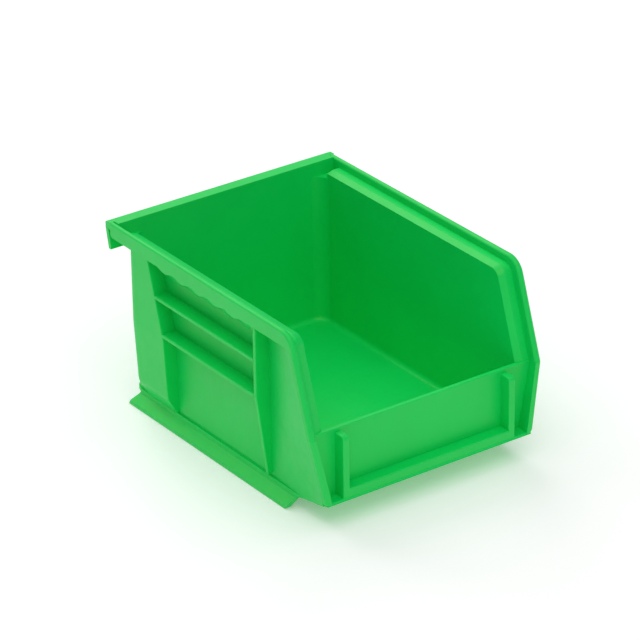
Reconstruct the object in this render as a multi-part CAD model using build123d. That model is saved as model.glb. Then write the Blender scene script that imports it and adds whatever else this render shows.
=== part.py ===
from build123d import *
import math
import os

# Stack-and-hang storage bin: one plastic moulding, split into its named walls, rails and ribs.
# X is the width, Y the length with the open front at -Y, Z up. The origin is under the middle
# of the bin, at the height of the feet. All sizes are in millimetres.

# Overall
LENGTH = 136.0
WIDTH = 106.0
REAR_WIDTH = 105.0
HEIGHT = 76.2
FRONT_Y = -LENGTH / 2
BACK_Y = LENGTH / 2

# Body: floor, walls and the cavity between them
CAVITY_HALF = 44.5
BODY_HALF_TOP = 46.0
BODY_HALF_BOTTOM = 45.5
BACK_OUT_Y = 64.1
BACK_IN_Y = 62.3
FLOOR_UNDER_Z = 5.3
FLOOR_TOP_Z = 7.5
BEAD_HALF = 46.4
BEAD_TOP_Z = 6.5
CORNER_R = 7.5
CAVITY_CORNER_R = 5.5
FLOOR_FILLET_R = 2.0

# Hopper front: sloped from the top rail down to the nose, then nearly upright
SLOPE_TOP_Y = -53.4
NOSE_Y = -66.1
NOSE_Z = 38.0
LIP_FOOT_Z = 10.1
FRONT_FACE_Y = -62.4
FRONT_IN_Y = -60.5
RAMP_START_Y = -47.6

# Rim: a ledge for the next bin's feet, with an upright lip outside it
RIM_UNDER_Z = 70.2
LEDGE_TOP_Z = 73.0
LEDGE_FLAT_X = 47.3
LEDGE_DROP = 0.9
LEDGE_END_Y = 58.4
LIP_IN_X = 50.4
LIP_FRONT_X = WIDTH / 2
LIP_REAR_X = REAR_WIDTH / 2
RAIL_END_Y = 64.9
RIM_SPLIT_Y = -44.0
LIP_WIDTH = 5.9
SLOPE_LEDGE_DEPTH = 4.07
RIM_CORNER_R = 8.0
LEDGE_CORNER_R = 4.5
LEDGE_BEND_STEP = 1.5
LIP_EDGE_R = 0.9
LIP_INNER_R = 1.1
FINE_R = 0.4

# Front cheek: the side flares out from the front rib to the lip
CHEEK_LIP_DEPTH = 2.35
CHEEK_BEND_R = 4.5
CHEEK_SINK = 0.1

# Lip beside the label area, leaning in towards its foot
LIP_FOOT_OUT_X = 47.7
LIP_FOOT_IN_X = 44.9
LIP_FOOT_R = 2.5

# Hang lip across the back
HANG_UNDER_Z = 73.3
HOOK_IN_Y = 66.3
HOOK_TIP_Z = 64.0
HOOK_TIP_HALF = 51.4

# Side ribs, posts and finger grips
RIB_OUT_X = 52.0
RIB_T = 1.4
RIB_LEVELS = {"upper": 55.7, "lower": 41.0}
FRONT_RIB_Y = -29.6
FRONT_RIB_T = 1.7
FRONT_RIB_KNEE_Z = 41.0
FRONT_RIB_FOOT_X = 47.4
RIB_WEB_R = 3.2
RIB_FOOT_Z = 7.6
POST_FRONT_Y = 31.5
POST_TOP_FRONT_Y = 40.5
POST_KNEE_Z = 40.0
POST_FOOT_X = 50.5
POST_TUCK_Z = 13.5
POST_TUCK_R = 6.0
POST_TOE_X = 46.5
POST_BACK_Y = 54.9
POST_BACK_R = 4.5
WAVE_START_Y = 33.5
WAVE_COUNT = 5
WAVE_PITCH = 11.3
WAVE_DEPTH = 1.1
GRIP_FOOT_X = 47.2
GRIP_FOOT_Z = 63.5
FLUTE_R = 9.0
FLUTE_DEPTH = 0.8

# Feet
FOOT_OUT_X = 49.95
FOOT_LAND = 1.8
FOOT_EDGE_Z = 1.8
FOOT_ROOT_X = 44.3
FOOT_ROOT_Z = 4.4
FOOT_BACK_Y = 60.3
FOOT_FRONT_Y = -44.8
FOOT_RAKE = 2.5
FOOT_BACK_RAKE = 3.2

# Label frame on the front face
LEG_IN_X = 36.7
LEG_OUT_X = 39.6
FRAME_FRONT_Y = -67.5
LEG_TOP_Z = 36.4
LEG_TOP_R = 1.6
SILL_TOP_Z = 14.4
RIM_TOP_Z = 11.0

SLOPE = (SLOPE_TOP_Y - NOSE_Y) / (HEIGHT - NOSE_Z)
SLOPE_COS = 1 / math.sqrt(1 + SLOPE**2)
RAMP = (LIP_FOOT_Z - FLOOR_UNDER_Z) / (RAMP_START_Y - FRONT_Y)
RIB_BACK_Y = FRONT_RIB_Y + FRONT_RIB_T / 2
RIB_FRONT_Y = RIB_BACK_Y - FRONT_RIB_T
LIP_LEAN = (LIP_FRONT_X - LIP_FOOT_OUT_X) / (NOSE_Z - LIP_FOOT_Z)
LIP_LEAN_IN = (LIP_IN_X - LIP_FOOT_IN_X) / (NOSE_Z - LIP_FOOT_Z)
NOSE_RAKE = (NOSE_Y - FRONT_Y) / (NOSE_Z - LIP_FOOT_Z)


def slope_y(z, depth=0.0):
    """Y of the sloped front at height z, on the line that lies depth behind the lip's front edge."""
    return SLOPE_TOP_Y - SLOPE * (HEIGHT - z) + depth / SLOPE_COS


def under_z(y, above=0.0):
    """Height of the underside at y, or of the surface that runs parallel to it, above it."""
    return FLOOR_UNDER_Z + above + RAMP * max(0.0, RAMP_START_Y - y)


def side_prism(points, x0, x1):
    """An outline in Y and Z, from x0 to x1."""
    plane = Plane(origin=(x0, 0, 0), x_dir=(0, 1, 0), z_dir=(1, 0, 0))
    return extrude(plane * make_face(Polyline(*points, close=True)), amount=x1 - x0)


def front_prism(points, y0, y1):
    """An outline in X and Z, from y0 to y1."""
    plane = Plane(origin=(0, y1, 0), x_dir=(1, 0, 0), z_dir=(0, -1, 0))
    return extrude(plane * make_face(Polyline(*points, close=True)), amount=y1 - y0)


def plan_prism(points, z0, z1):
    """An outline in X and Y, from z0 to z1."""
    return extrude(Pos(0, 0, z0) * make_face(Polyline(*points, close=True)), amount=z1 - z0)


def block(x0, x1, y0, y1, z0, z1):
    """A box between two corners."""
    return Pos((x0 + x1) / 2, (y0 + y1) / 2, (z0 + z1) / 2) * Box(x1 - x0, y1 - y0, z1 - z0)


def edges_where(solid, test):
    """The edges whose middle passes the test."""
    return [e for e in solid.edges() if test(e.position_at(0.5))]


def near(a, b, tol=0.02):
    return abs(a - b) < tol


def largest(shape):
    """The biggest piece that a cut has left."""
    return max(shape.solids(), key=lambda piece: piece.volume)


def mirrored(solid):
    """The same feature on the other side of the bin."""
    return mirror(solid, about=Plane.YZ)


def outer_body():
    """The walls' outside, with the rear corners rounded."""
    section = [(-BODY_HALF_BOTTOM, 0), (BODY_HALF_BOTTOM, 0), (BODY_HALF_TOP, RIM_UNDER_Z),
               (-BODY_HALF_TOP, RIM_UNDER_Z)]
    body = front_prism(section, FRONT_IN_Y, BACK_OUT_Y)
    corners = edges_where(body, lambda p: near(p.Y, BACK_OUT_Y) and abs(p.X) > 40 and 1 < p.Z < 69)
    return fillet(corners, CORNER_R)


def cavity():
    """The space inside, with a rounded meeting of floor and walls."""
    ramp_y = RAMP_START_Y + 0.3
    top = HEIGHT + 10
    points = [(BACK_IN_Y, FLOOR_TOP_Z), (BACK_IN_Y, top), (FRONT_IN_Y, top),
              (FRONT_IN_Y, FLOOR_TOP_Z + RAMP * (ramp_y - FRONT_IN_Y)), (ramp_y, FLOOR_TOP_Z)]
    space = side_prism(points, -CAVITY_HALF, CAVITY_HALF)
    upright = edges_where(space, lambda p: near(p.Y, BACK_IN_Y) and abs(p.X) > 40 and p.Z > 20)
    space = fillet(upright, CAVITY_CORNER_R)
    low = edges_where(space, lambda p: p.Z < 12 and not (near(p.X, 0) and near(p.Y, ramp_y)))
    return fillet(low, FLOOR_FILLET_R)


def slab(half, z_low, z_high, corner_r):
    """A layer of the floor, following its turned-up front end."""
    low = z_low - FLOOR_UNDER_Z
    high = z_high - FLOOR_UNDER_Z
    points = [(BACK_OUT_Y, z_low), (BACK_OUT_Y, z_high), (RAMP_START_Y, z_high),
              (FRONT_FACE_Y, under_z(FRONT_FACE_Y, high)), (FRONT_FACE_Y, under_z(FRONT_FACE_Y, low)),
              (RAMP_START_Y, z_low)]
    layer = side_prism(points, -half, half)
    corners = edges_where(layer, lambda p: near(p.Y, BACK_OUT_Y) and near(abs(p.X), half))
    return fillet(corners, corner_r)


def floor_pan(ends):
    """The floor: a thin bead all round its underside, and the floor proper inside the walls."""
    bead = slab(BEAD_HALF, FLOOR_UNDER_Z, BEAD_TOP_Z, CORNER_R + 0.9)
    top = slab(BODY_HALF_BOTTOM, BEAD_TOP_Z, FLOOR_TOP_Z, CORNER_R)
    return bead + top - ends


def wall_blank():
    """All four walls below the rim, in one piece, standing on the floor."""
    return outer_body() - cavity() - slab(WIDTH, -20, FLOOR_TOP_Z, 1.0)


def side_wall(walls):
    """The right side wall, cut off along the back of the sloped flange."""
    outline = [(BACK_OUT_Y - CORNER_R, 0), (BACK_OUT_Y - CORNER_R, RIM_UNDER_Z),
               (slope_y(RIM_UNDER_Z, LIP_WIDTH), RIM_UNDER_Z), (slope_y(NOSE_Z, LIP_WIDTH), NOSE_Z),
               (FRONT_IN_Y, NOSE_Z), (FRONT_IN_Y, 0)]
    return walls & side_prism(outline, CAVITY_HALF - FLOOR_FILLET_R, WIDTH)


def back_wall(walls):
    """The rear wall between the corners, and the strip that carries the hang lip."""
    half = BODY_HALF_TOP - CORNER_R
    main = walls & block(-half, half, BACK_OUT_Y - CORNER_R, BACK_OUT_Y, 0, RIM_UNDER_Z)
    strip = block(-LIP_IN_X, LIP_IN_X, BACK_IN_Y, BACK_OUT_Y, RIM_UNDER_Z, HANG_UNDER_Z)
    return main + strip


def rear_corner(walls):
    """The right rear corner, with the small shelf that closes the rim behind the ledge."""
    start_x = BODY_HALF_TOP - CORNER_R
    start_y = BACK_OUT_Y - CORNER_R
    curve = walls & block(start_x, WIDTH, start_y, BACK_OUT_Y, 0, RIM_UNDER_Z)
    shelf = block(start_x, LIP_IN_X, start_y, BACK_OUT_Y, RIM_UNDER_Z - RIB_T, RIM_UNDER_Z)
    return curve + (shelf - cavity())


def front_wall(walls):
    """The low front wall, out to the lips on either side."""
    foot_x = LIP_IN_X - LIP_LEAN_IN * NOSE_Z
    panel = front_prism([(-foot_x, 0), (foot_x, 0), (LIP_IN_X, NOSE_Z), (-LIP_IN_X, NOSE_Z)],
                        FRONT_FACE_Y, FRONT_IN_Y)
    panel -= slab(WIDTH, -20, FLOOR_TOP_Z, 1.0)
    half = CAVITY_HALF - FLOOR_FILLET_R
    inner_fillet = walls & block(-half, half, FRONT_IN_Y, FRONT_IN_Y + 3 * FLOOR_FILLET_R, 0, NOSE_Z)
    top_edges = edges_where(panel, lambda p: near(p.Z, NOSE_Z) and abs(p.X) < 1)
    return fillet(top_edges, FINE_R) + inner_fillet


def wave_points():
    """The scalloped lower edge of the rail, front to back."""
    steps = 8 * WAVE_COUNT
    points = []
    for i in range(steps + 1):
        turn = i * WAVE_COUNT / steps
        drop = WAVE_DEPTH * (1 - math.cos(2 * math.pi * turn)) / 2
        points.append((WAVE_START_Y - WAVE_PITCH * turn, RIM_UNDER_Z - drop))
    return points


def rim_lip():
    """The upright lip along the rail and down the slope, before it is cut in two."""
    wave = wave_points()
    outline = Polyline(wave[0], (RAIL_END_Y, RIM_UNDER_Z), (RAIL_END_Y, HEIGHT), (SLOPE_TOP_Y, HEIGHT),
                       (NOSE_Y, NOSE_Z), (slope_y(NOSE_Z, LIP_WIDTH), NOSE_Z),
                       (slope_y(RIM_UNDER_Z, LIP_WIDTH), RIM_UNDER_Z), wave[-1])
    face = make_face([outline, Spline(*wave)])
    bends = [(SLOPE_TOP_Y, HEIGHT, RIM_CORNER_R), (RAIL_END_Y, RIM_UNDER_Z, 2.0),
             (slope_y(RIM_UNDER_Z, LIP_WIDTH), RIM_UNDER_Z, 3.0)]
    for y, z, radius in bends:
        corner = [v for v in face.vertices() if near(v.X, y) and near(v.Y, z)]
        face = fillet(corner, radius)
    plane = Plane(origin=(LIP_IN_X, 0, 0), x_dir=(0, 1, 0), z_dir=(1, 0, 0))
    lip = extrude(plane * face, amount=WIDTH / 2 - LIP_IN_X)
    side = [(LIP_IN_X, BACK_Y), (LIP_REAR_X, BACK_Y), (LIP_REAR_X, RAIL_END_Y), (LIP_FRONT_X, NOSE_Y),
            (LIP_FRONT_X, FRONT_Y - 1), (LIP_IN_X, FRONT_Y - 1)]
    lip &= plan_prism(side, 0, HEIGHT + 1)
    return round_lip_edges(lip)


def round_lip_edges(lip):
    """Rounds the lip's crest, which faces up on the rail and forward on the slope."""
    def on_crest(p):
        on_top = p.Z > HEIGHT - RIM_CORNER_R and p.Z > RIM_UNDER_Z + 3
        on_front = p.Y < slope_y(p.Z, 0.5) and p.Z > NOSE_Z + 0.1
        return (on_top or on_front) and p.Y < RAIL_END_Y - 0.1
    middle = (LIP_IN_X + LIP_REAR_X) / 2
    lip = fillet(edges_where(lip, lambda p: p.X > middle and on_crest(p)), LIP_EDGE_R)
    return fillet(edges_where(lip, lambda p: near(p.X, LIP_IN_X) and on_crest(p)), LIP_INNER_R)


def ledge_profile(x, drop):
    """The ledge's outline at x, with its upper face lowered by drop."""
    depth = SLOPE_LEDGE_DEPTH + drop
    top = LEDGE_TOP_Z - drop
    points = [(LEDGE_END_Y, RIM_UNDER_Z), (LEDGE_END_Y, top), (slope_y(top, depth), top),
              (slope_y(NOSE_Z, depth), NOSE_Z), (slope_y(NOSE_Z, LIP_WIDTH), NOSE_Z),
              (slope_y(RIM_UNDER_Z, LIP_WIDTH), RIM_UNDER_Z)]
    plane = Plane(origin=(x, 0, 0), x_dir=(0, 1, 0), z_dir=(1, 0, 0))
    face = make_face(Polyline(*points, close=True))
    for y, z, radius in [(*points[2], LEDGE_CORNER_R), (*points[5], LEDGE_CORNER_R - LEDGE_BEND_STEP)]:
        corner = [v for v in face.vertices() if near(v.X, y) and near(v.Y, z)]
        face = fillet(corner, radius)
    return plane * face


def rim_ledge():
    """The step that the next bin's feet stand on, and its run down the slope."""
    seat = extrude(ledge_profile(LEDGE_FLAT_X, 0), amount=LIP_IN_X - LEDGE_FLAT_X)
    shoulder = loft([ledge_profile(CAVITY_HALF, LEDGE_DROP), ledge_profile(LEDGE_FLAT_X, 0)], ruled=True)
    return seat + shoulder


def nose_lip():
    """The lip beside the label area, leaning in towards its foot."""
    strip = front_prism([(LIP_FRONT_X - LIP_LEAN * NOSE_Z, 0), (LIP_FRONT_X, NOSE_Z), (LIP_IN_X, NOSE_Z),
                         (LIP_IN_X - LIP_LEAN_IN * NOSE_Z, 0)], FRONT_Y - 1, FRONT_IN_Y)
    profile = [(FRONT_IN_Y, NOSE_Z), (NOSE_Y, NOSE_Z), (FRONT_Y, LIP_FOOT_Z),
               (FRONT_IN_Y, under_z(FRONT_IN_Y))]
    lip = strip & side_prism(profile, 0, WIDTH)
    foot = edges_where(lip, lambda p: p.Z < LIP_FOOT_Z and near(p.X, LIP_FOOT_OUT_X, 1.0))
    lip = fillet(foot, LIP_FOOT_R)
    front = edges_where(lip, lambda p: p.Y < NOSE_Y and p.X > LIP_FOOT_OUT_X and p.Z > LIP_FOOT_Z + 3)
    return fillet(front, LIP_EDGE_R)


def flare_section(z):
    """Level cut through everything inside the flared side, from the front rib to the lip."""
    below = max(0.0, NOSE_Z - z)
    y = slope_y(z, 0) if z > NOSE_Z else NOSE_Y - NOSE_RAKE * below
    y += CHEEK_LIP_DEPTH
    wall_x = BODY_HALF_BOTTOM + (BODY_HALF_TOP - BODY_HALF_BOTTOM) * z / RIM_UNDER_Z - CHEEK_SINK
    start_x = CAVITY_HALF - FLOOR_FILLET_R
    corners = [(start_x, RIB_FRONT_Y), (wall_x, RIB_FRONT_Y), (LIP_FRONT_X - LIP_LEAN * below, y), (start_x, y)]
    return Pos(0, 0, z) * make_face(Polyline(*corners, close=True))


def inside_flare():
    """Everything inside the flared side."""
    upper = loft([flare_section(NOSE_Z), flare_section(RIM_UNDER_Z)], ruled=True)
    lower = loft([flare_section(0), flare_section(NOSE_Z)], ruled=True)
    return upper + lower


def flare_band():
    """The side area that flares, seen from the side and carried through the bin's width."""
    foot_y = FRONT_Y + CHEEK_LIP_DEPTH
    top_y = slope_y(RIM_UNDER_Z) + CHEEK_LIP_DEPTH
    outline = [(RIB_FRONT_Y, FLOOR_UNDER_Z), (RIB_FRONT_Y, RIM_UNDER_Z), (top_y, RIM_UNDER_Z),
               (NOSE_Y + CHEEK_LIP_DEPTH, NOSE_Z), (foot_y, LIP_FOOT_Z), (foot_y, under_z(foot_y)),
               (RAMP_START_Y, FLOOR_UNDER_Z)]
    band = side_prism(outline, CAVITY_HALF - FLOOR_FILLET_R, WIDTH)
    bend = edges_where(band, lambda p: near(p.Y, top_y) and near(p.Z, RIM_UNDER_Z))
    return fillet(bend, CHEEK_BEND_R)


def mouth_space():
    """The open space between the lips, in front of the ledge and the front wall."""
    depth = SLOPE_LEDGE_DEPTH
    above = side_prism([(slope_y(HEIGHT, depth), HEIGHT), (slope_y(NOSE_Z, depth), NOSE_Z), (FRONT_Y - 1, NOSE_Z),
                        (FRONT_Y - 1, HEIGHT)], 0, LIP_IN_X)
    foot_x = LIP_IN_X - LIP_LEAN_IN * NOSE_Z
    below = front_prism([(0, 0), (foot_x, 0), (LIP_IN_X, NOSE_Z), (0, NOSE_Z)], FRONT_Y - 1, FRONT_IN_Y)
    return above + below


def finger_grip(body):
    """The sloped block under the rail, with a flute for each fingertip."""
    low_y = WAVE_START_Y - WAVE_COUNT * WAVE_PITCH
    section = [(CAVITY_HALF, RIM_UNDER_Z), (LIP_IN_X, RIM_UNDER_Z), (GRIP_FOOT_X, GRIP_FOOT_Z),
               (CAVITY_HALF, GRIP_FOOT_Z)]
    grip = front_prism(section, low_y, WAVE_START_Y)
    run = math.hypot(LIP_IN_X - GRIP_FOOT_X, RIM_UNDER_Z - GRIP_FOOT_Z)
    tilt = math.degrees(math.atan2(LIP_IN_X - GRIP_FOOT_X, RIM_UNDER_Z - GRIP_FOOT_Z))
    middle = Pos((LIP_IN_X + GRIP_FOOT_X) / 2, 0, (RIM_UNDER_Z + GRIP_FOOT_Z) / 2)
    out = FLUTE_R - FLUTE_DEPTH
    for i in range(WAVE_COUNT + 1):
        y = WAVE_START_Y - WAVE_PITCH * i
        flute = middle * Rot(0, tilt, 0) * Pos(out, y, 0) * Cylinder(FLUTE_R, 3 * run)
        grip -= flute
    return grip - body


def rear_post(body):
    """The broad rib at the rear, flush with the rail, rounded behind and tucked in at its foot."""
    outline = [(POST_TOP_FRONT_Y, RIM_UNDER_Z), (POST_FRONT_Y, POST_KNEE_Z), (POST_FRONT_Y, BEAD_TOP_Z),
               (POST_BACK_Y, BEAD_TOP_Z), (POST_BACK_Y, RIM_UNDER_Z)]
    post = side_prism(outline, CAVITY_HALF, RIB_OUT_X)
    section = [(CAVITY_HALF, BEAD_TOP_Z), (POST_TOE_X, BEAD_TOP_Z), (POST_FOOT_X, POST_TUCK_Z),
               (RIB_OUT_X, POST_KNEE_Z), (RIB_OUT_X, RIM_UNDER_Z), (CAVITY_HALF, RIM_UNDER_Z)]
    side = front_prism(section, 0, BACK_Y)
    post &= fillet(edges_where(side, lambda p: near(p.X, POST_FOOT_X) and near(p.Z, POST_TUCK_Z)), POST_TUCK_R)
    back = edges_where(post, lambda p: near(p.Y, POST_BACK_Y) and p.X > POST_TOE_X and BEAD_TOP_Z < p.Z < 69)
    post = fillet(back, POST_BACK_R)
    front = edges_where(post, lambda p: p.Y < POST_TOP_FRONT_Y and p.X > POST_TOE_X and BEAD_TOP_Z < p.Z < 69)
    return fillet(front, FINE_R) - body


def front_rib(body):
    """The upright rib behind the sloped flange."""
    section = [(CAVITY_HALF, RIB_FOOT_Z), (FRONT_RIB_FOOT_X, RIB_FOOT_Z), (RIB_OUT_X, FRONT_RIB_KNEE_Z),
               (RIB_OUT_X, RIM_UNDER_Z), (CAVITY_HALF, RIM_UNDER_Z)]
    rib = front_prism(section, RIB_FRONT_Y, RIB_BACK_Y)
    outer = edges_where(rib, lambda p: p.X > 48 and RIB_FOOT_Z + 1 < p.Z < RIM_UNDER_Z - 1
                        and abs(p.Y - FRONT_RIB_Y) > FRONT_RIB_T / 4)
    low = RIM_UNDER_Z - RIB_WEB_R
    web = block(LIP_IN_X, RIB_OUT_X, RIB_BACK_Y, RIB_BACK_Y + RIB_WEB_R, low, RIM_UNDER_Z)
    web -= Pos(RIB_OUT_X, RIB_BACK_Y + RIB_WEB_R, low) * Rot(0, 90, 0) * Cylinder(RIB_WEB_R, WIDTH / 10)
    return fillet(outer, FINE_R) - body + web


def side_rib(level, body, post):
    """A level rib from the front rib to the rear post."""
    rib = block(CAVITY_HALF, RIB_OUT_X, RIB_BACK_Y, POST_TOP_FRONT_Y, level - RIB_T / 2, level + RIB_T / 2)
    outer = edges_where(rib, lambda p: near(p.X, RIB_OUT_X) and near(p.Y, (RIB_BACK_Y + POST_TOP_FRONT_Y) / 2))
    return fillet(outer, FINE_R) - body - post


def foot_rail():
    """The splayed foot that stands on the ledge of the bin below."""
    section = [(FOOT_ROOT_X, FLOOR_UNDER_Z), (FOOT_OUT_X - FOOT_LAND, 0), (FOOT_OUT_X, 0),
               (FOOT_OUT_X, FOOT_EDGE_Z), (BEAD_HALF + 0.1, FOOT_ROOT_Z), (BEAD_HALF, FLOOR_UNDER_Z)]
    foot = front_prism(section, FOOT_FRONT_Y - 3 * FOOT_RAKE, FOOT_BACK_Y)
    reach = FOOT_FRONT_Y - FOOT_RAKE
    heel = FOOT_BACK_Y - FOOT_BACK_RAKE
    outline = [(FOOT_BACK_Y, 0), (heel, FLOOR_UNDER_Z), (reach, FLOOR_UNDER_Z), (FOOT_FRONT_Y, 0)]
    foot &= side_prism(outline, 0, WIDTH)
    toe = edges_where(foot, lambda p: near(p.Y, FOOT_FRONT_Y, 0.2) and near(p.Z, 0))
    return fillet(toe, 1.5)


def hang_bridge():
    """The flat top of the hang lip, from the rear wall to the hook."""
    points = [(-LIP_IN_X, BACK_IN_Y), (LIP_IN_X, BACK_IN_Y), (LIP_IN_X, RAIL_END_Y),
              (LIP_REAR_X, RAIL_END_Y), (LIP_REAR_X, BACK_Y), (-LIP_REAR_X, BACK_Y),
              (-LIP_REAR_X, RAIL_END_Y), (-LIP_IN_X, RAIL_END_Y)]
    bridge = plan_prism(points, HANG_UNDER_Z, HEIGHT)
    rim = edges_where(bridge, lambda p: near(p.Z, HEIGHT) and near(p.Y, BACK_Y))
    return fillet(rim, LIP_EDGE_R)


def hook():
    """The plate that hangs behind a louvre."""
    points = [(-LIP_REAR_X, HANG_UNDER_Z), (-HOOK_TIP_HALF, HOOK_TIP_Z), (HOOK_TIP_HALF, HOOK_TIP_Z),
              (LIP_REAR_X, HANG_UNDER_Z)]
    plate = front_prism(points, HOOK_IN_Y, BACK_Y)
    tip = edges_where(plate, lambda p: near(p.Z, HOOK_TIP_Z) and near(p.X, 0))
    return fillet(tip, FINE_R)


def label_frame():
    """Two uprights and a bottom bar around the label area, before they are told apart."""
    leg = block(LEG_IN_X, LEG_OUT_X, FRAME_FRONT_Y, FRONT_FACE_Y, RIM_TOP_Z, LEG_TOP_Z)
    top = edges_where(leg, lambda p: near(p.Z, LEG_TOP_Z) and near(p.Y, FRAME_FRONT_Y))
    leg = fillet(top, LEG_TOP_R)
    bar = block(-LEG_IN_X, LEG_IN_X, FRAME_FRONT_Y, FRONT_FACE_Y, RIM_TOP_Z, SILL_TOP_Z)
    whole = bar + leg + mirrored(leg)
    front = edges_where(whole, lambda p: near(p.Y, FRAME_FRONT_Y) and RIM_TOP_Z < p.Z < LEG_TOP_Z - LEG_TOP_R)
    return fillet(front, FINE_R)


def front_rim(ends):
    """The thin rim that closes the front pockets from below."""
    points = [(FRONT_FACE_Y, under_z(FRONT_FACE_Y)), (FRONT_FACE_Y, RIM_TOP_Z), (FRAME_FRONT_Y, RIM_TOP_Z),
              (FRONT_Y, LIP_FOOT_Z)]
    return side_prism(points, -WIDTH / 2 + 6, WIDTH / 2 - 6) - ends


def build_nodes():
    """Every named feature of the moulding, with left at -X."""
    body = outer_body()
    walls = wall_blank()
    lip = rim_lip()
    ledge = rim_ledge()
    behind = block(0, WIDTH, RIM_SPLIT_Y, BACK_Y, 0, HEIGHT)
    inside = inside_flare()
    band = flare_band()
    trimmed = band - inside
    nose = nose_lip()
    cheek = largest((band & inside) - body - lip - nose - ledge - mouth_space() - floor_pan(nose))
    lip -= trimmed
    nose -= trimmed
    ends = nose + cheek
    ends += mirrored(ends)
    post = rear_post(body)
    label = label_frame()
    between_legs = block(-LEG_IN_X, LEG_IN_X, FRONT_Y, BACK_Y, 0, HEIGHT)
    right = {
        "side_wall": side_wall(walls) - ledge,
        "rear_corner": rear_corner(walls),
        "top_rail": lip & behind,
        "front_flange": lip - behind,
        "stack_ledge": ledge & behind,
        "front_ledge": ledge - behind,
        "nose_lip": nose,
        "front_cheek": cheek,
        "finger_grip": finger_grip(body),
        "rear_post": post,
        "front_rib": front_rib(body),
        "foot_rail": foot_rail(),
        "label_leg": (label - between_legs) & block(0, WIDTH, FRONT_Y, BACK_Y, 0, HEIGHT),
    }
    for name, level in RIB_LEVELS.items():
        right[name + "_side_rib"] = side_rib(level, body, post)
    nodes = {
        "floor_pan": floor_pan(ends),
        "back_wall": back_wall(walls),
        "front_wall": front_wall(walls),
        "hang_lip_bridge": hang_bridge(),
        "hang_lip_hook": hook(),
        "label_sill": label & between_legs,
        "front_bottom_rim": front_rim(ends),
    }
    for name, solid in right.items():
        nodes["right_" + name] = solid
        nodes["left_" + name] = mirrored(solid)
    return nodes


os.makedirs("parts", exist_ok=True)
for node, solid in build_nodes().items():
    export_step(solid, "parts/" + node + ".step")
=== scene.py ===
import math

import bpy
from mathutils import Matrix, Vector


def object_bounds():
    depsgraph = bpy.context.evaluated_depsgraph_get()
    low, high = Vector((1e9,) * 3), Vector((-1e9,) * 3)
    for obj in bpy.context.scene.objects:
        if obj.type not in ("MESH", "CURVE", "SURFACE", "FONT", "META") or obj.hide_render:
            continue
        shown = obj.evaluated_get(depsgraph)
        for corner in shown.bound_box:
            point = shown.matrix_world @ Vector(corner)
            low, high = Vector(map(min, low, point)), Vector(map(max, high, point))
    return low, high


# The stackable storage bin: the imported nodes, dressed as one green polypropylene moulding.

SLOT = "green_polypropylene"

# Camera: seen from the front left, a little above, with a long lens. The angles are in degrees.
CAMERA_AZIMUTH = -35.283
CAMERA_ELEVATION = 26.761
CAMERA_ROLL = -0.863
CAMERA_DISTANCE = 1.53032
CAMERA_LENS = 227.0
CAMERA_SENSOR = 36.0
CAMERA_CLIP = (0.1, 100.0)
CAMERA_AIM = (0, 0.0009, 0.0381)
CAMERA_AIM_RIGHT = -0.000636
CAMERA_AIM_UP = 0.005804

# Floor
FLOOR_SIZE = 12.0
FLOOR_GAP = 0.0002
FLOOR_COLOUR = (0.9, 0.9, 0.9, 1)
FLOOR_ROUGHNESS = 0.6
FLOOR_SPECULAR = 0.2
FLOOR_GLOW = 0.20

# Plastic. Each green is a stop along the flow noise. A noise is a scale per metre, a detail and,
# for the rub and the painted crest highlight, a roughness.
GREENS = [(0.30, (0.0002, 0.655, 0.112)), (0.70, (0.0006, 0.690, 0.122))]
# The paler greens are a painted highlight along the rail crests, and rub on the feet.
RUB_AND_CREST_HIGHLIGHT_GREENS = [(0.30, (0.020, 0.690, 0.140)), (0.70, (0.040, 0.730, 0.155))]
IOR = 1.49
SHEEN = 0.40
SHEEN_TINT = (1.0, 0.92, 0.15, 1)
FLOW_NOISE = (38, 3)
CLOUD_NOISE = (260, 3)
CLOUD_RANGE = (0.3, 0.7)
ROUGH_LOW = 0.38
ROUGH_HIGH = 0.48
WAVE_NOISE = (90, 1)
WAVE_STRENGTH = 0.25
WAVE_HEIGHT = 0.00012
GRAIN_NOISE = (2600, 2)
GRAIN_STRENGTH = 0.10
GRAIN_HEIGHT = 0.00006
RUB_AND_HIGHLIGHT_NOISE = (420, 4, 0.65)
RUB_AND_HIGHLIGHT_RANGE = (0.45, 0.75)
RUB_AND_HIGHLIGHT_FADE = 0.45
RUB_ROUGHNESS = 0.12
# How far down from the top the painted crest highlight reaches.
CREST_HIGHLIGHT_DEPTH = 0.0012
FOOT_RUB = 0.0010

# Light tent: each softbox is a place, what it faces, a size and a brightness
WORLD_STRENGTH = 0.19
SOFTBOXES = {
    "top_softbox": ((-0.2, -0.2, 2.0), (0, 0, 0), 3.0, 0.99),
    "back_softbox": ((0.1, 2.2, 1.5), (0, 0, 0), 2.6, 1.75),
    "key_softbox": ((-0.6, -1.75, 1.75), (0, 0, 0), 2.0, 1.12),
}

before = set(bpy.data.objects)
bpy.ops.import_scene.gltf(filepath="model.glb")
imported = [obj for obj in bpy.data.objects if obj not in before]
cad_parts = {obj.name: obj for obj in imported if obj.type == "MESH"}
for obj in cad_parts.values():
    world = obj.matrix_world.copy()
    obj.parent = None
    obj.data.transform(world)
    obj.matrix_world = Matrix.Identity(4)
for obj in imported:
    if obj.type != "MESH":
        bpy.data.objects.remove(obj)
cad_low, cad_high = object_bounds()


def node(tree, kind, **values):
    made = tree.nodes.new(kind)
    for name, value in values.items():
        setattr(made, name, value)
    return made


def noise(tree, coords, scale, detail=2.0, rough=0.5):
    """Noise in the bin's own space, so it runs on across the moulding's named pieces."""
    made = node(tree, "ShaderNodeTexNoise", noise_dimensions="3D")
    made.inputs["Scale"].default_value = scale
    made.inputs["Detail"].default_value = detail
    made.inputs["Roughness"].default_value = rough
    tree.links.new(coords, made.inputs["Vector"])
    return made.outputs["Fac"]


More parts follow.
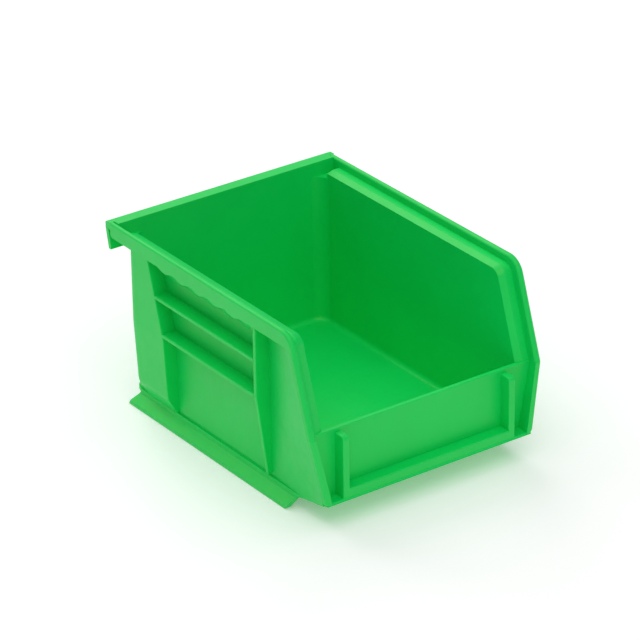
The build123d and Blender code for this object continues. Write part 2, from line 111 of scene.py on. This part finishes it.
def remap(tree, value, low, high, to_low, to_high):
    made = node(tree, "ShaderNodeMapRange", clamp=True)
    sockets = ("From Min", "From Max", "To Min", "To Max")
    for socket, number in zip(sockets, (low, high, to_low, to_high)):
        made.inputs[socket].default_value = number
    tree.links.new(value, made.inputs["Value"])
    return made.outputs["Result"]


def combine(tree, operation, first, second):
    made = node(tree, "ShaderNodeMath", operation=operation)
    tree.links.new(first, made.inputs[0])
    tree.links.new(second, made.inputs[1])
    return made.outputs[0]


def ramp(tree, value, stops):
    made = node(tree, "ShaderNodeValToRGB")
    for element, (place, colour) in zip(made.color_ramp.elements, stops):
        element.position = place
        element.color = (*colour, 1)
    tree.links.new(value, made.inputs["Fac"])
    return made.outputs["Color"]


def bump(tree, height, strength, distance, below=None):
    made = node(tree, "ShaderNodeBump")
    made.inputs["Strength"].default_value = strength
    made.inputs["Distance"].default_value = distance
    tree.links.new(height, made.inputs["Height"])
    if below:
        tree.links.new(below, made.inputs["Normal"])
    return made.outputs["Normal"]


def rub_and_crest_highlight(tree, coords):
    """Painted highlight along the crest of the rails, paler as if lit from above, and real rub
    where stacking wears the underside of the feet.
    """
    axes = node(tree, "ShaderNodeSeparateXYZ")
    tree.links.new(coords, axes.inputs["Vector"])
    # Painted highlight: the top band of the rails turns paler.
    crest = remap(tree, axes.outputs["Z"], cad_high.z - CREST_HIGHLIGHT_DEPTH, cad_high.z, 0, 1)
    feet = remap(tree, axes.outputs["Z"], cad_low.z, cad_low.z + FOOT_RUB, 1, 0)
    patches = remap(tree, noise(tree, coords, *RUB_AND_HIGHLIGHT_NOISE), *RUB_AND_HIGHLIGHT_RANGE, 0, 1)
    return combine(tree, "MULTIPLY", combine(tree, "MAXIMUM", crest, feet), patches)


def polypropylene():
    """Solid green polypropylene: fine moulded grain, faint flow marks, a painted highlight on
    the rail crests and rub on the feet.
    """
    mat = bpy.data.materials.new(SLOT)
    mat.use_nodes = True
    tree = mat.node_tree
    shader = tree.nodes["Principled BSDF"]
    shader.inputs["IOR"].default_value = IOR
    shader.inputs["Specular IOR Level"].default_value = SHEEN
    shader.inputs["Specular Tint"].default_value = SHEEN_TINT
    coords = node(tree, "ShaderNodeTexCoord").outputs["Object"]
    flow = noise(tree, coords, *FLOW_NOISE)
    rub_and_highlight = rub_and_crest_highlight(tree, coords)
    mix = node(tree, "ShaderNodeMix", data_type="RGBA")
    # Mix in the paler greens: painted crest highlight, and rub on the feet.
    tree.links.new(remap(tree, rub_and_highlight, 0, 1, 0, RUB_AND_HIGHLIGHT_FADE), mix.inputs["Factor"])
    tree.links.new(ramp(tree, flow, GREENS), mix.inputs["A"])
    tree.links.new(ramp(tree, flow, RUB_AND_CREST_HIGHLIGHT_GREENS), mix.inputs["B"])
    tree.links.new(mix.outputs["Result"], shader.inputs["Base Color"])
    cloud = remap(tree, noise(tree, coords, *CLOUD_NOISE), *CLOUD_RANGE, ROUGH_LOW, ROUGH_HIGH)
    roughness = combine(tree, "ADD", cloud, remap(tree, rub_and_highlight, 0, 1, 0, RUB_ROUGHNESS))
    tree.links.new(roughness, shader.inputs["Roughness"])
    waves = bump(tree, noise(tree, coords, *WAVE_NOISE), WAVE_STRENGTH, WAVE_HEIGHT)
    grain = bump(tree, noise(tree, coords, *GRAIN_NOISE), GRAIN_STRENGTH, GRAIN_HEIGHT, waves)
    tree.links.new(grain, shader.inputs["Normal"])
    return mat


def set_material(obj, mat):
    obj.data.materials.clear()
    obj.data.materials.append(mat)


def add_floor():
    mesh = bpy.data.meshes.new("floor")
    h = FLOOR_SIZE / 2
    z = cad_low.z - FLOOR_GAP
    mesh.from_pydata([(-h, -h, z), (h, -h, z), (h, h, z), (-h, h, z)], [], [(0, 1, 2, 3)])
    floor = bpy.data.objects.new("floor", mesh)
    bpy.context.scene.collection.objects.link(floor)
    mat = bpy.data.materials.new("pale_floor")
    mat.use_nodes = True
    shader = mat.node_tree.nodes["Principled BSDF"]
    shader.inputs["Base Color"].default_value = FLOOR_COLOUR
    shader.inputs["Roughness"].default_value = FLOOR_ROUGHNESS
    shader.inputs["Specular IOR Level"].default_value = FLOOR_SPECULAR
    shader.inputs["Emission Color"].default_value = (1, 1, 1, 1)
    shader.inputs["Emission Strength"].default_value = FLOOR_GLOW
    mesh.materials.append(mat)


def add_softbox(name, place, aim, size, brightness):
    """A square light; brightness is its radiance."""
    data = bpy.data.lights.new(name, "AREA")
    data.shape = "SQUARE"
    data.size = size
    data.energy = brightness * math.pi * size**2
    light = bpy.data.objects.new(name, data)
    light.location = place
    light.rotation_mode = "QUATERNION"
    light.rotation_quaternion = (Vector(aim) - Vector(place)).to_track_quat("-Z", "Y")
    bpy.context.scene.collection.objects.link(light)


def add_lights():
    world = bpy.data.worlds.new("studio")
    bpy.context.scene.world = world
    world.use_nodes = True
    background = world.node_tree.nodes["Background"]
    background.inputs["Color"].default_value = (1, 1, 1, 1)
    background.inputs["Strength"].default_value = WORLD_STRENGTH
    for name, values in SOFTBOXES.items():
        add_softbox(name, *values)


def add_camera():
    a, e, r = (math.radians(v) for v in (CAMERA_AZIMUTH, CAMERA_ELEVATION, CAMERA_ROLL))
    back = Vector((math.sin(a) * math.cos(e), -math.cos(a) * math.cos(e), math.sin(e)))
    level = Vector((math.cos(a), math.sin(a), 0))
    level_up = back.cross(level)
    right = math.cos(r) * level + math.sin(r) * level_up
    up = -math.sin(r) * level + math.cos(r) * level_up
    aim = Vector(CAMERA_AIM) + CAMERA_AIM_RIGHT * right + CAMERA_AIM_UP * up
    place = aim + CAMERA_DISTANCE * back
    data = bpy.data.cameras.new("camera")
    data.lens = CAMERA_LENS
    data.sensor_width = CAMERA_SENSOR
    data.sensor_fit = "HORIZONTAL"
    data.clip_start, data.clip_end = CAMERA_CLIP
    camera = bpy.data.objects.new("camera", data)
    camera.matrix_world = Matrix((
        (right.x, up.x, back.x, place.x), (right.y, up.y, back.y, place.y),
        (right.z, up.z, back.z, place.z), (0, 0, 0, 1)))
    bpy.context.scene.collection.objects.link(camera)
    bpy.context.scene.camera = camera


plastic = polypropylene()
for name, obj in sorted(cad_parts.items()):
    set_material(obj, plastic)

add_floor()
add_lights()
add_camera()
bpy.context.scene.view_settings.view_transform = "Standard"
